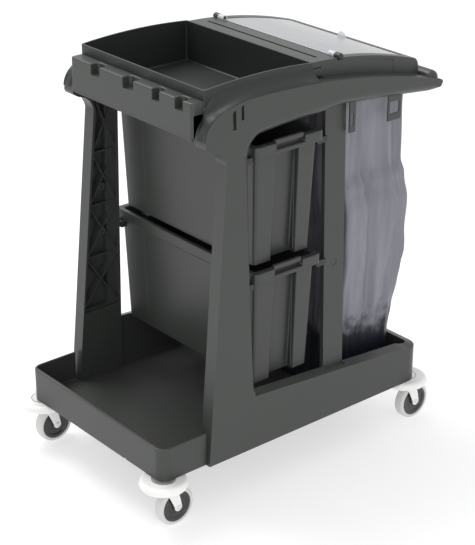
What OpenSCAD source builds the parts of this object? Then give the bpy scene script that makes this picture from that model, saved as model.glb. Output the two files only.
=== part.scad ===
// Housekeeping cart: moulded deck with mop tray, two side frames, top tray,
// lidded bag housing, two pull-out bins and four swivel castors.
// Millimetres, +Z up, +Y toward the push handle, deck centred on X and Y.

/* [Deck] */
// Width of the deck over its side walls
deck_width = 548; // [500:1:600]
// Length of the deck from front wall to rear wall
deck_length = 844; // [780:1:900]
// Height of the underside of the deck above the floor
deck_base_z = 133; // [120:1:150]
// Thickness of the deck floor
deck_floor = 8; // [5:1:14]
// Height of the mop tray rim above the floor
mop_rim_z = 220; // [190:1:250]
// Thickness of the mop tray side walls
mop_wall = 6; // [4:1:12]
// Outer radius of the mop tray front corners
mop_corner_r = 28; // [15:1:45]

/* [Side frames] */
// Distance between the outer faces of the two side frames at the deck
frame_width = 572; // [520:1:620]
// Depth of each side frame from outer face to inner face
frame_depth = 36; // [28:1:48]
// Outer skin thickness of the side frame mouldings
frame_skin = 5; // [3:1:8]
// Front edge of the mid post
post_front_y = 96; // [85:1:105]
// Width of the mid post along the cart
post_width = 66; // [50:1:74]
// Depth that the mid post stands back from the outer face
post_recess = 24; // [15:1:26]
// Rear edge of the front leg
leg_rear_y = -152; // [-160:1:-140]
// Inward lean of the legs and top rails above the lower rail, in degrees
lean = 1.29; // [1:0.01:1.3]
// Radius of the rounded rear corners of the lower rail
rear_corner_r = 40; // [25:1:60]

/* [Top tray] */
// Width of the top tray
tray_width = 465; // [430:1:490]
// Front face of the top tray
tray_front_y = -256; // [-265:1:-250]
// Rear face of the top tray
tray_rear_y = 66; // [60:1:68]
// Height of the tray rim at its ends
tray_rim_z = 1051; // [1040:1:1060]
// Height of the underside of the tray
tray_base_z = 944; // [930:1:960]
// Tray wall thickness
tray_wall = 4; // [3:1:6]

/* [Bins] */
// Middle of the bins along the cart
bin_mid_y = -36; // [-38:1:-34]
// Half length of the bin rim across the cart
bin_half_length = 276; // [262:1:280]
// Half width of the bin rim
bin_half_width = 104; // [98:1:105]
// Height of one bin from feet to rim
bin_height = 302; // [260:1:308]
// Height of the upper bin rim above the floor
bin_upper_z = 901; // [895:1:910]
// Height of the lower bin rim above the floor
bin_lower_z = 588; // [580:1:592]
// Bin wall thickness
bin_wall = 3; // [2:0.5:5]

/* [Lid] */
// Half width of the clear lid sheet
lid_half_width = 203; // [190:1:204]
// Position of the lid hinge axis along the cart
lid_hinge_y = 156; // [150:1:160]
// Height of the lid hinge axis
lid_hinge_z = 1048; // [1047:1:1050]
// Thickness of the clear lid sheet
lid_sheet = 3; // [2:0.5:4]
// Radius of the hinge pins
hinge_pin_r = 5; // [3:0.5:6]

/* [Castors] */
// Wheel radius
wheel_r = 50; // [45:1:52]
// Width of the tyre
tyre_width = 28; // [22:1:32]
// Swivel axis inset from the deck side and end
castor_inset = 19.5; // [15:0.5:30]
// Horizontal offset of the axle behind the swivel axis
castor_trail = 29; // [22:1:36]
// Outer radius of the bumper ring
bumper_r = 59; // [50:1:64]
// Radius of the wheel axle
axle_r = 4; // [3:0.5:6]
// Radial clearance of the running fits
running_gap = 0.06; // [0.03:0.01:0.1]

/* [Hidden] */
$fn = 48;
e = 0.01;
grey = [0.3, 0.31, 0.3];
dark = [0.14, 0.15, 0.15];
clear = [0.85, 0.87, 0.88, 0.45];
hx = frame_width / 2;
ix = hx - frame_depth;
rear_y = deck_length / 2;
front_y = -rear_y;
floor_z = deck_base_z + deck_floor;
wall_y = -288;
post_rear_y = post_front_y + post_width;
thx = tray_width / 2;
lug_drop = 26.3;
crown_z = deck_base_z - 24;
// Shift that centres the cart, rear wheels included, over the origin
centre_y = -10;
// Shoulder and crown of the arched top rail
apex_y = -114;
apex_z = 1020;
shoulder = 170;
shoulder_drop = 80;
// Height where the frames start to lean
kink_z = 277.5;
swivels = [
  [-deck_width / 2 + castor_inset, front_y + castor_inset],
  [deck_width / 2 - castor_inset, front_y + castor_inset],
  [-deck_width / 2 + castor_inset, rear_y - castor_inset],
  [deck_width / 2 - castor_inset, rear_y - castor_inset]
];

// Height of the rail top behind its apex
function rail_z(y) = apex_z - pow(y - apex_y, 2) / 4187;
// Point on the front shoulder, 90 at its tip and 0 at the apex
function shoulder_point(t) = [
  apex_y - shoulder * pow(sin(t), 0.83), apex_z - shoulder_drop * (1 - pow(cos(t), 0.83))];
// Distance that the lean carries a frame inward at height z
function lean_in(z) = (z - kink_z) * tan(lean);
// Evenly spaced positions from a to b
function steps(a, b, n) = [for (k = [0:n]) a + (b - a) * k / n];
// Underside of the rail behind the mid post
function under_z(y) = 942 - 0.08 * (y - 133) - 0.00006 * pow(y - 133, 2);
// Top of the window and of the recess in front of the mid post
function window_z(y) = y < 71 ? 936 - 0.00027 * pow(y - 71, 2) : 936 + (y - 71) * 0.0968;
// Height of the crease along the lower rail
function crease_z(y) = 274.4 - 0.0762 * (y + 132.6);
// Top line of the bag housing
function house_z(y) = 1050 - 0.02 * (y - 66) - 0.00042 * pow(y - 66, 2);
function arc(cy, cz, r, a0, a1, n) = [for (a = steps(a0, a1, n)) [cy + r * cos(a), cz + r * sin(a)]];
function rev(p) = [for (k = [len(p) - 1:-1:0]) p[k]];
function raised(p, t) = rev([for (q = p) [q[0], q[1] + t]]);

// Extrudes a profile drawn in Y and Z from x0 to x1
module yz(x0, x1) {
  translate([x0, 0, 0])
    rotate([90, 0, 90])
      linear_extrude(height = x1 - x0)
        children();
}

// Extrudes a profile drawn in X and Z from y0 to y1
module xz(y0, y1) {
  translate([0, y1, 0])
    rotate([90, 0, 0])
      linear_extrude(height = y1 - y0)
        children();
}

// Extrudes a plan drawn in X and Y from z0 to z1
module xy(z0, z1) {
  translate([0, 0, z0])
    linear_extrude(height = z1 - z0)
      children();
}

module box(a, b) {
  translate(a)
    cube(b - a);
}

// Cylinder along X from x0 to x1
module rod_x(x0, x1, r) {
  translate([x0, 0, 0])
    rotate([0, 90, 0])
      cylinder(r = r, h = x1 - x0);
}

// Moves a finished sub-part to its place over the origin
module placed() {
  translate([0, centre_y, 0])
    children();
}

// Slab that follows the leaning frame, from depth a behind its outer face to depth b
module leaning(a, b) {
  t = lean_in(1200);
  xz(-600, 600)
    polygon([[hx - a, 0], [hx - b, 0], [hx - b, kink_z], [hx - b - t, 1200], [hx - a - t, 1200], [hx - a, kink_z]]);
}

module both_sides() {
  children();
  mirror([1, 0, 0])
    children();
}

// Rounded rectangle from corner a to corner b
module rounded(a, b, r) {
  translate([a[0] + r, a[1]])
    square([b[0] - a[0] - 2 * r, b[1] - a[1]]);
  translate([a[0], a[1] + r])
    square([b[0] - a[0], b[1] - a[1] - 2 * r]);
  for (x = [a[0] + r, b[0] - r], y = [a[1] + r, b[1] - r])
    translate([x, y])
      circle(r = r);
}

// Wedge above the sloping top of the lower rail, from crease height z0 to z1
module wedge(y0, z0, y1, z1) {
  a = atan((z0 - z1) / (y1 - y0));
  translate([hx, y0, z0])
    rotate([-90 - a, 0, 0])
      linear_extrude(height = (y1 - y0) / cos(a))
        polygon([[1, 0.33], [-24, -8], [-24.5, -60], [1, -60]]);
}

module base_deck() {
  w = deck_width / 2;
  color(grey)
    placed() {
      difference() {
        xy(deck_base_z, mop_rim_z)
          rounded([-w, front_y], [w, wall_y + 60], mop_corner_r);
        xy(floor_z, 300)
          rounded([-w + mop_wall, front_y + 11], [w - mop_wall, wall_y + 90], mop_corner_r - 8);
        box([-w - 1, wall_y, deck_base_z - 1], [w + 1, wall_y + 80, 300]);
        box([122, front_y - 1, deck_base_z - 1], [131, front_y + 6, deck_base_z + 4]);
      }
      box([-ix, wall_y - e, deck_base_z], [ix, rear_y - rear_corner_r, floor_z]);
      box([4 - ix, rear_y - rear_corner_r - e, deck_base_z], [ix - 4, rear_y - 24, floor_z]);
      difference() {
        box([-216, rear_y - 24 - e, deck_base_z], [216, rear_y, 236]);
        yz(-300, 300)
          polygon([[rear_y + 1, 227.7], [rear_y - 24, 236], [rear_y - 24, 250], [rear_y + 1, 250]]);
      }
    }
}

module frame_profile() {
  polygon(concat(
    [[wall_y, deck_base_z], [post_rear_y, deck_base_z]],
    [for (y = steps(post_rear_y, 428, 12)) [y, under_z(y)]],
    [[442, 913], [453, 917], [461, 923.5], [466, 931], [466.5, 936], [462, 940.5]],
    rev([for (y = steps(apex_y, 452, 21)) [y, rail_z(y)]]),
    [for (t = steps(5, 90, 17)) shoulder_point(t)],
    [[-284, 932], [-276, 923], [-247, 914], [-231, 900], [-224, 880]]
  ));
}

module window_profile() {
  polygon(concat(
    arc(leg_rear_y + 16, crease_z(-136) + 24, 16, 180, 270, 6),
    [[post_front_y, crease_z(post_front_y) + 8]],
    [for (y = concat([post_front_y], steps(71, -98, 6))) [y, window_z(y)]],
    arc(leg_rear_y + 45, 883, 45, 96, 180, 8)
  ));
}

module rib(a, b) {
  d = b - a;
  yz(ix - 30, hx)
    translate(a)
      rotate(atan2(d[1], d[0]))
        translate([-4, -1.5])
          square([norm(d) + 8, 3]);
}

// Crossed stiffening ribs inside the front leg
module leg_ribs() {
  r = leg_rear_y - 4;
  for (k = [0:3]) {
    z0 = 345 + k * 140;
    z1 = z0 + 140;
    y0 = -273 + (z0 - deck_base_z) * 0.081;
    y1 = -273 + (z1 - deck_base_z) * 0.081;
    rib([y0, z0], [r, z1]);
    rib([y1, z1], [r, z0]);
    rib([y1, z1], [r, z1]);
  }
}

module lower_rail() {
  difference() {
    yz(hx - 24, hx)
      polygon([
        [post_rear_y - e, deck_base_z], [rear_y - rear_corner_r, deck_base_z],
        [rear_y - rear_corner_r, 236], [360, crease_z(360) + 8],
        [post_rear_y - e, crease_z(post_rear_y) + 8]
      ]);
    wedge(post_rear_y, crease_z(post_rear_y), 360, crease_z(360));
    wedge(360, crease_z(360), rear_y - rear_corner_r, 228);
  }
  translate([hx - rear_corner_r, rear_y - rear_corner_r, 0])
    rotate_extrude(angle = 90, $fn = 72)
      translate([rear_corner_r - 24, 0])
        polygon([[0, deck_base_z], [24, deck_base_z], [24, 228], [0, 236]]);
  yz(216, hx - rear_corner_r)
    polygon([[rear_y - 24, deck_base_z], [rear_y, deck_base_z], [rear_y, 228], [rear_y - 24, 236]]);
  box([ix, post_front_y, deck_base_z], [hx - 20, rear_y - rear_corner_r, floor_z + 6]);
}

module side_frame() {
  difference() {
    intersection() {
      yz(ix - 30, hx + 1)
        difference() {
          frame_profile();
          window_profile();
        }
      leaning(frame_depth, 0);
    }
    // hollow behind the leg skin and the shoulder
    intersection() {
      yz(ix - 40, hx)
        polygon([
          [-264, 340], [leg_rear_y - 5, 340], [leg_rear_y - 5, 890], [leg_rear_y + 18, 935],
          [-120, 1006], [-190, 1000], [-240, 972], [-262, 940], [-217, 900]
        ]);
      leaning(100, frame_skin);
    }
    // hollow behind the lower rail
    box([ix - 5, leg_rear_y, floor_z + 10], [hx - 24, post_front_y + e, 320]);
    // the mid post stands back from the outer face
    intersection() {
      yz(ix - 40, hx + 2)
        polygon([
          [post_front_y - 2, 290], [post_rear_y + e, 290], [post_rear_y + e, under_z(post_rear_y)],
          [133, 942], [post_front_y, window_z(post_front_y)], [post_front_y - 2, 937]
        ]);
      leaning(post_recess, -5);
    }
    wedge(leg_rear_y + 3, crease_z(leg_rear_y + 3), post_rear_y, crease_z(post_rear_y));
    // slots in the shoulder and in the rail top
    box([hx - 24, -221, 966], [hx + 1, -213, 997]);
    box([hx - 24, -200, 984], [hx + 1, -192, 1004]);
    for (y = [-97, -13])
      box([hx - 37, y - 7, 1003], [hx - 29, y + 7, 1030]);
    translate([0, post_front_y + post_width / 2, 540])
      rod_x(ix - 20, hx + 1, 8);
  }
  intersection() {
    leg_ribs();
    yz(ix - 40, hx)
      polygon([[-268, 338], [leg_rear_y - 2, 338], [leg_rear_y - 2, 892], [-221, 892]]);
    leaning(frame_depth - 6, frame_skin - 1);
  }
  for (z = [546, 668])
    translate([-lean_in(z), -203, z])
      difference() {
        rod_x(ix + 4, hx - 3, 10);
        rod_x(ix, ix + 22, 5);
      }
  lower_rail();
}

module side_frame_right() {
  color(grey)
    placed()
    side_frame();
}

module side_frame_left() {
  color(grey)
    placed()
    mirror([1, 0, 0])
      side_frame();
}

// Thin flange lying on the rail along a line of points
module flange(x0, x1, line) {
  yz(x0, x1)
    polygon(concat(line, raised(line, 3)));
}

module top_tray() {
  arch = [for (u = steps(0, 1, 12)) [
    tray_rear_y + (tray_front_y - tray_rear_y) * u, tray_rim_z + 32 * u * (1 - u)]];
  color(dark)
    placed() {
      difference() {
        yz(-thx, thx)
          polygon(concat([[tray_front_y, tray_base_z], [tray_rear_y, tray_base_z]], arch));
        box([-thx + tray_wall, tray_front_y + tray_wall, tray_base_z + tray_wall],
          [thx - tray_wall, tray_rear_y - tray_wall, 1100]);
        for (y = [tray_front_y - 1, tray_rear_y - tray_wall])
          box([-thx - 1, y, tray_rim_z], [thx + 1, y + tray_wall + 1, 1100]);
      }
      both_sides() {
        flange(thx - 1, 242, [for (y = steps(apex_y, tray_rear_y, 6)) [y, rail_z(y) + 0.06]]);
        flange(thx - 1, 266, [for (t = steps(85, 0, 17)) shoulder_point(t) + [-0.06, 0.06]]);
        box([thx - tray_wall, tray_rear_y - 1, 1015], [thx, 95, 1034]);
      }
    }
}

module front_apron() {
  y0 = tray_front_y - 33;
  color(grey)
    placed()
    difference() {
      xz(y0, tray_front_y)
        polygon([[-232, 942], [232, 942], [232, 1027], [-232, 1027]]);
      box([-240, y0 + 5, 900], [240, tray_front_y + 1, 997]);
      // each notch is [middle, width]
      for (n = [[-132, 35], [-4, 41], [100, 27], [184, 29]]) {
        box([n[0] - n[1] / 2, y0 - 1, 1001], [n[0] + n[1] / 2, y0 + 18, 1030]);
        translate([n[0], y0 + 18, 1001])
          cylinder(r = 7, h = 30);
      }
    }
}

module bag_housing() {
  mouth = lid_half_width + 2;
  outer = 228;
  skin = [for (y = steps(72, 420, 14)) [y, house_z(y) - 8]];
  color(grey)
    placed() {
      difference() {
        yz(-outer, outer)
          polygon(concat(
            [[66.5, 980], [427, 952], [427, 975], [425, 983]],
            rev([for (y = steps(66.5, 418, 16)) [y, house_z(y)]])
          ));
        yz(-outer + 4, outer - 4)
          polygon(concat([[420, 940], [72, 960]], skin));
        // recess that the lid lies in, and the mouth inside it
        yz(-mouth, mouth)
          polygon(concat(
            [[390, 1100], [146, 1100]],
            [for (y = steps(146, 390, 12)) [y, house_z(y) - 4.3]]
          ));
        box([-mouth + 10, 150, 900], [mouth - 10, 380, 1100]);
        box([-200, 103, 1000], [200, 110.5, 1100]);
        both_sides() {
          box([outer - 8, 60, 980], [outer + 8, 95.3, 1034.5]);
          translate([0, lid_hinge_y, lid_hinge_z])
            rod_x(mouth - 16, 214, 8.6);
          box([213.5, lid_hinge_y - 9, lid_hinge_z - 8.5], [outer + 1, lid_hinge_y + 9, 1100]);
          box([outer - 2, 245, 1006], [outer + 1, 332, 1060]);
        }
      }
      both_sides()
        flange(outer - 1, 242, [for (y = steps(97, 408, 14)) [y, rail_z(y) + 0.06]]);
    }
}

module clear_lid() {
  line = [for (y = steps(lid_hinge_y, 386, 12)) [y, house_z(y) - 4]];
  color(clear)
    placed()
    difference() {
      union() {
        yz(-lid_half_width, lid_half_width)
          polygon(concat(line, raised(line, lid_sheet)));
        both_sides()
          translate([0, lid_hinge_y, lid_hinge_z])
            rod_x(193, 213, hinge_pin_r + 3);
      }
      both_sides()
        translate([0, lid_hinge_y, lid_hinge_z])
          rod_x(192, 214, hinge_pin_r + running_gap);
    }
}

module lid_grip() {
  color(clear)
    placed()
    xz(377, 380)
      difference() {
        translate([0, house_z(378) - 1])
          circle(r = 15);
        translate([-20, house_z(378) - 41])
          square([40, 40.4]);
      }
}

module hinge_pins() {
  color(dark)
    placed()
    both_sides()
      translate([0, lid_hinge_y, lid_hinge_z]) {
        rod_x(194, 220, hinge_pin_r);
        rod_x(214, 232, 8);
        box([214, -8, -8.2], [228, 8, 0]);
      }
}

module push_handle() {
  color(grey)
    placed()
    difference() {
      yz(-ix, ix)
        polygon(arc(446, 942, 19, 5, 355, 30));
      both_sides()
        intersection() {
          box([ix - 30, 400, 880], [ix + 40, 500, 1000]);
          leaning(frame_depth, -50);
        }
    }
}

// Tabs hanging under the rails
module bag_hooks() {
  color(grey)
    placed()
    both_sides()
      for (y = [[161, 181], [289, 333]])
        difference() {
          yz(258, 262)
            polygon([[y[0], 868], [y[1], 868], [y[1], under_z(y[1]) - 0.02], [y[0], under_z(y[0]) - 0.02]]);
          box([257, y[0] + 5, 884], [263, y[1] - 5, 912]);
        }
}

// Bag drawn in by inset all round, narrower where it stands between the lower rails
module bag_solid(inset, top) {
  xy(floor_z + 0.4 + inset, 270)
    rounded([-222 + inset, 153 + inset], [222 - inset, 391 - inset], 36 - inset);
  xy(262 + inset, top)
    rounded([-232 + inset, 151 + inset], [232 - inset, 406 - inset], 40 - inset);
}

module waste_bag() {
  color([0.43, 0.43, 0.47])
    placed()
    difference() {
      bag_solid(0, 949.9);
      bag_solid(4, 1000);
    }
}

// Tapered block, half sizes t at height top and b at the bottom
module taper(top, bottom, t, b) {
  hull() {
    xy(top - 1, top)
      square(2 * t, center = true);
    xy(bottom, bottom + 1)
      square(2 * b, center = true);
  }
}

module bin(top) {
  t = [bin_half_length - 14, bin_half_width - 9];
  b = t - [13, 8];
  m = [bin_wall, bin_wall];
  l = bin_half_length;
  w = bin_half_width;
  base = top - bin_height;
  color(grey)
    placed()
    translate([0, bin_mid_y, 0])
      difference() {
        union() {
          taper(top, base, t, b);
          box([-l, -w, top - 4], [l, w, top]);
          for (s = [-1, 1]) {
            box([-l, s * w - 1.5, top - 26], [l, s * w + 1.5, top]);
            box([s * l - 1.5, -w, top - 26], [s * l + 1.5, w, top]);
            // grip on each end
            box([s * (l + 2) - 5, -30, top - 26], [s * (l + 2) + 5, 30, top - 20]);
            box([s * (l - 2) - 5, -30, top - e], [s * (l - 2) + 5, 30, top + 7]);
          }
        }
        // hollow, kept clear of the channel in each end
        difference() {
          taper(top + 8, base + 4, t - m, b - m);
          for (s = [-1, 1])
            box([s * 262 - 31, -38, base], [s * 262 + 31, 44, top - 28]);
        }
        for (s = [-1, 1])
          box([s * 262 - 28, -35, base - 1], [s * 262 + 28, 41, top - 31]);
      }
}

module bin_upper() {
  bin(bin_upper_z);
}

module bin_lower() {
  bin(bin_lower_z);
}

module runner_lugs() {
  color(grey)
    placed()
    both_sides()
      for (z = [bin_upper_z - lug_drop, bin_lower_z - lug_drop]) {
        box([ix - 10 - lean_in(z), leg_rear_y, z - 16], [ix + 20 - lean_in(z), -134, z]);
        box([ix - 10 - lean_in(z), 63, z - 16], [ix + 20 - lean_in(z), post_front_y, z]);
      }
}

module post_plugs() {
  color(grey)
    placed()
    both_sides()
      translate([-lean_in(540), post_front_y + post_width / 2, 540])
        rod_x(hx - post_recess - 8, hx - post_recess - 0.5, 8);
}

module castor_plates() {
  color([0.8, 0.81, 0.82])
    placed()
    for (s = swivels)
      translate([s[0], s[1], 0])
        difference() {
          union() {
            translate([0, 0, deck_base_z - 5])
              cylinder(r = 28, h = 5);
            translate([0, 0, crown_z + 1])
              cylinder(r = 16, h = 20);
          }
          translate([0, 0, crown_z])
            cylinder(r = 8 + running_gap, h = 22);
        }
}

module bumper_rings() {
  color([0.93, 0.93, 0.92])
    placed()
    for (s = swivels)
      translate([s[0], s[1], 0])
        rotate_extrude($fn = 96)
          difference() {
            rounded([0, deck_base_z - 22], [bumper_r, deck_base_z], 10);
            translate([-1, 0])
              square([30, 200]);
          }
}

module fork(s) {
  arm = tyre_width / 2 + 2;
  color([0.86, 0.87, 0.88])
    placed()
    translate([s[0], s[1], 0]) {
      translate([0, 0, crown_z - e])
        cylinder(r = 8, h = 20);
      translate([0, 0, crown_z - 5])
        cylinder(r = 24, h = 5);
      both_sides()
        difference() {
          yz(arm, arm + 3)
            polygon(concat(
              [[-14, crown_z - 4], [castor_trail - 9, wheel_r]],
              arc(castor_trail, wheel_r, 9, 180, 360, 10),
              [[castor_trail + 9, wheel_r], [castor_trail + 2, 78], [23, crown_z - 4]]
            ));
          translate([0, castor_trail, wheel_r])
            rod_x(arm - 1, arm + 4, axle_r);
        }
      box([-arm - 3, -14, crown_z - 5], [arm + 3, 23, crown_z - 2]);
    }
}

module axle(s) {
  arm = tyre_width / 2 + 5;
  color([0.7, 0.71, 0.72])
    placed()
    translate([s[0], s[1] + castor_trail, wheel_r]) {
      rod_x(-arm, arm, axle_r);
      rod_x(arm - e, arm + 3, 6.5);
      rod_x(-arm - 3, -arm + e, 6.5);
    }
}

module tyre(s) {
  w = tyre_width / 2;
  color([0.82, 0.82, 0.81])
    placed()
    translate([s[0], s[1] + castor_trail, wheel_r])
      rotate([0, 90, 0])
        rotate_extrude($fn = 96)
          difference() {
            rounded([0, -w], [wheel_r, w], 7);
            translate([-1, -w - 1])
              square([40, 2 * w + 2]);
          }
}

module hub(s) {
  w = tyre_width / 2;
  color([0.05, 0.05, 0.05])
    placed()
    translate([s[0], s[1] + castor_trail, wheel_r])
      rotate([0, 90, 0])
        rotate_extrude($fn = 96)
          polygon([
              [axle_r + running_gap, -w - 1.5], [12, -w - 1.5], [12, -w + 4], [32, -w + 4],
              [32, -w + 1], [39, -w + 1], [39, w - 1], [32, w - 1], [32, w - 4],
              [12, w - 4], [12, w + 1.5], [axle_r + running_gap, w + 1.5]
            ]);
}

module fork_1() fork(swivels[0]);
module fork_2() fork(swivels[1]);
module fork_3() fork(swivels[2]);
module fork_4() fork(swivels[3]);
module axle_1() axle(swivels[0]);
module axle_2() axle(swivels[1]);
module axle_3() axle(swivels[2]);
module axle_4() axle(swivels[3]);
module tyre_1() tyre(swivels[0]);
module tyre_2() tyre(swivels[1]);
module tyre_3() tyre(swivels[2]);
module tyre_4() tyre(swivels[3]);
module hub_1() hub(swivels[0]);
module hub_2() hub(swivels[1]);
module hub_3() hub(swivels[2]);
module hub_4() hub(swivels[3]);

base_deck();
side_frame_right();
side_frame_left();
top_tray();
front_apron();
bag_housing();
clear_lid();
lid_grip();
hinge_pins();
push_handle();
bag_hooks();
waste_bag();
bin_upper();
bin_lower();
runner_lugs();
post_plugs();
castor_plates();
bumper_rings();
fork_1();
fork_2();
fork_3();
fork_4();
axle_1();
axle_2();
axle_3();
axle_4();
tyre_1();
tyre_2();
tyre_3();
tyre_4();
hub_1();
hub_2();
hub_3();
hub_4();
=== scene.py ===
import math

import bmesh
import bpy
from bpy.props import FloatProperty, FloatVectorProperty, PointerProperty
from mathutils import Matrix, Vector, noise


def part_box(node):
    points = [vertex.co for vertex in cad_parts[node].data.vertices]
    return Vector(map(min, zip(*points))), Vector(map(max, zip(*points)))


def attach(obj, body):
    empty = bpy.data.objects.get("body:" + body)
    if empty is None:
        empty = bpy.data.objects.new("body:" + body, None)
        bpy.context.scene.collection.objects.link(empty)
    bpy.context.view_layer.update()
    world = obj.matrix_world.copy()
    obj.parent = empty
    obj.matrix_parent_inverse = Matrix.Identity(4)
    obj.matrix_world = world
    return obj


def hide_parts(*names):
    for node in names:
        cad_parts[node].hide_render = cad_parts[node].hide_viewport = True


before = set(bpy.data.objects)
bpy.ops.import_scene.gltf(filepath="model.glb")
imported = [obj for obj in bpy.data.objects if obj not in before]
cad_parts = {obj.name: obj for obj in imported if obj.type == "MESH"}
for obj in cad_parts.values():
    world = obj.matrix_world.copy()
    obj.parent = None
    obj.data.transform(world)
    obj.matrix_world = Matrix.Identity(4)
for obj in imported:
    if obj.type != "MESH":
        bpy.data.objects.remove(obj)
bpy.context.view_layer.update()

bl_info = {
    "name": "Housekeeping Cart",
    "version": (1, 0, 0),
    "blender": (4, 5, 0),
    "location": "View3D > Sidebar > Cart",
    "description": "Builds the visible pieces of a moulded housekeeping cart around its frame",
    "category": "Add Mesh",
}

DECK_LOW, DECK_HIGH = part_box("base_deck")
# Shapes are drawn in millimetres with the deck centred on Y, then moved by this
CENTRE_Y = (DECK_LOW.y + DECK_HIGH.y) / 2
MM = 0.001
# Height above which the side frames lean inward
KINK_Z = 277.5


# ---------------------------------------------------------------- settings

class CartFinish(bpy.types.PropertyGroup):
    """Colours of the cart's materials"""

    grey: FloatVectorProperty(
        name="Grey moulding", description="Colour of frames, deck, bins and housing",
        subtype="COLOR", size=3, min=0, max=1, default=(0.036, 0.0395, 0.0365))
    # Grey moulding darkened as painted shade: the shade inside the top tray, on its hollow sweeps and round
    # the runner lugs; the hinge knobs take it too
    dark: FloatVectorProperty(
        name="Shaded grey moulding", description="Colour of the top tray and the small runners",
        subtype="COLOR", size=3, min=0, max=1, default=(0.015, 0.0165, 0.017))
    film: FloatVectorProperty(
        name="Bag film", description="Colour of the waste bag film",
        subtype="COLOR", size=3, min=0, max=1, default=(0.165, 0.165, 0.195))
    # Colour the film darkens to towards the foot of the bag, below a ragged line
    foot_tone: FloatVectorProperty(
        name="Bag foot tone", description="Colour of what shows through the foot of the bag",
        subtype="COLOR", size=3, min=0, max=1, default=(0.012, 0.014, 0.022))
    sheet: FloatVectorProperty(
        name="Clear sheet", description="Tint of the lid sheet and its knuckles",
        subtype="COLOR", size=3, min=0, max=1, default=(0.34, 0.355, 0.365))
    bumper: FloatVectorProperty(
        name="Bumper", description="Colour of the bumper rings",
        subtype="COLOR", size=3, min=0, max=1, default=(0.83, 0.83, 0.82))
    tyre: FloatVectorProperty(
        name="Tyre", description="Colour of the non-marking tyres",
        subtype="COLOR", size=3, min=0, max=1, default=(0.6, 0.6, 0.59))
    hub: FloatVectorProperty(
        name="Wheel centre", description="Colour of the moulded wheel centres",
        subtype="COLOR", size=3, min=0, max=1, default=(0.012, 0.012, 0.013))


class CartSizes(bpy.types.PropertyGroup):
    """Sizes a user may want to change"""

    edge: FloatProperty(
        name="Moulded edge", description="Radius of the small edges of the mouldings",
        subtype="DISTANCE", unit="LENGTH", min=0.0005, max=0.003, default=0.0015)
    film: FloatProperty(
        name="Film thickness", description="Thickness of the waste bag film",
        subtype="DISTANCE", unit="LENGTH", min=0.0002, max=0.002, default=0.0006)
    pleat: FloatProperty(
        name="Pleat depth", description="Depth of the folds in the waste bag",
        subtype="DISTANCE", unit="LENGTH", min=0.0, max=0.02, default=0.0095)
    grain: FloatProperty(
        name="Grain size", description="Size of the moulded surface grain",
        subtype="DISTANCE", unit="LENGTH", min=0.0003, max=0.003, default=0.0009)


# ---------------------------------------------------------------- mesh tools

def prism(bm, points, axis, start, end):
    """Extrudes a closed profile along an axis. X takes (y, z) points, Y takes (x, z) and Z takes (x, y)."""
    k = "XYZ".index(axis)

    def at(p):
        q = list(p)
        q.insert(k, start)
        return q

    face = bm.faces.new([bm.verts.new(at(p)) for p in points])
    made = bmesh.ops.extrude_face_region(bm, geom=[face])["geom"]
    step = Vector((0, 0, 0))
    step[k] = end - start
    bmesh.ops.translate(bm, vec=step, verts=[g for g in made if isinstance(g, bmesh.types.BMVert)])


def block(bm, low, high, radius=0, segments=2):
    """Block between two corners, with all its edges rounded"""
    size = Vector(high) - Vector(low)
    place = Matrix.Translation((Vector(low) + Vector(high)) / 2) @ Matrix.Diagonal((*size, 1))
    made = bmesh.ops.create_cube(bm, size=1, matrix=place)["verts"]
    if radius:
        edges = {e for v in made for e in v.link_edges}
        bmesh.ops.bevel(bm, geom=list(edges), offset=radius, offset_type="OFFSET", segments=segments,
                        profile=0.5, affect="EDGES", clamp_overlap=True, material=-1)


def rod(bm, axis, start, end, centre, radius, segments=32, radius2=None):
    """Round bar along an axis; centre gives its other two coordinates"""
    k = "XYZ".index(axis)
    middle = list(centre)
    middle.insert(k, (start + end) / 2)
    turn = {"X": Matrix.Rotation(math.pi / 2, 4, "Y"), "Y": Matrix.Rotation(-math.pi / 2, 4, "X"),
            "Z": Matrix.Identity(4)}[axis]
    bmesh.ops.create_cone(bm, cap_ends=True, segments=segments, radius1=radius,
                          radius2=radius if radius2 is None else radius2, depth=abs(end - start),
                          matrix=Matrix.Translation(middle) @ turn)


def turned(bm, profile, centre, axis, segments=64):
    """Spins a closed profile of (radius, height) points round an axis"""
    k = "XYZ".index(axis)
    side = (k + 1) % 3
    points = []
    for r, h in profile:
        q = Vector(centre)
        q[side] += r
        q[k] += h
        points.append(bm.verts.new(q))
    edges = [bm.edges.new((points[i - 1], points[i])) for i in range(len(points))]
    spin_axis = Vector((0, 0, 0))
    spin_axis[k] = 1
    bmesh.ops.spin(bm, geom=points + edges, cent=centre, axis=spin_axis, dvec=(0, 0, 0),
                   angle=2 * math.pi, steps=segments, use_merge=True, use_normal_flip=False,
                   use_duplicate=False)
    bmesh.ops.remove_doubles(bm, verts=bm.verts, dist=0.0005)


def clean(bm, dist=0.01):
    bmesh.ops.remove_doubles(bm, verts=bm.verts, dist=dist)
    bmesh.ops.dissolve_degenerate(bm, dist=dist, edges=bm.edges)
    bmesh.ops.recalc_face_normals(bm, faces=bm.faces)


def temporary(bm, name):
    mesh = bpy.data.meshes.new(name)
    bm.to_mesh(mesh)
    made = bpy.data.objects.new(name, mesh)
    bpy.context.scene.collection.objects.link(made)
    return made


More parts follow.
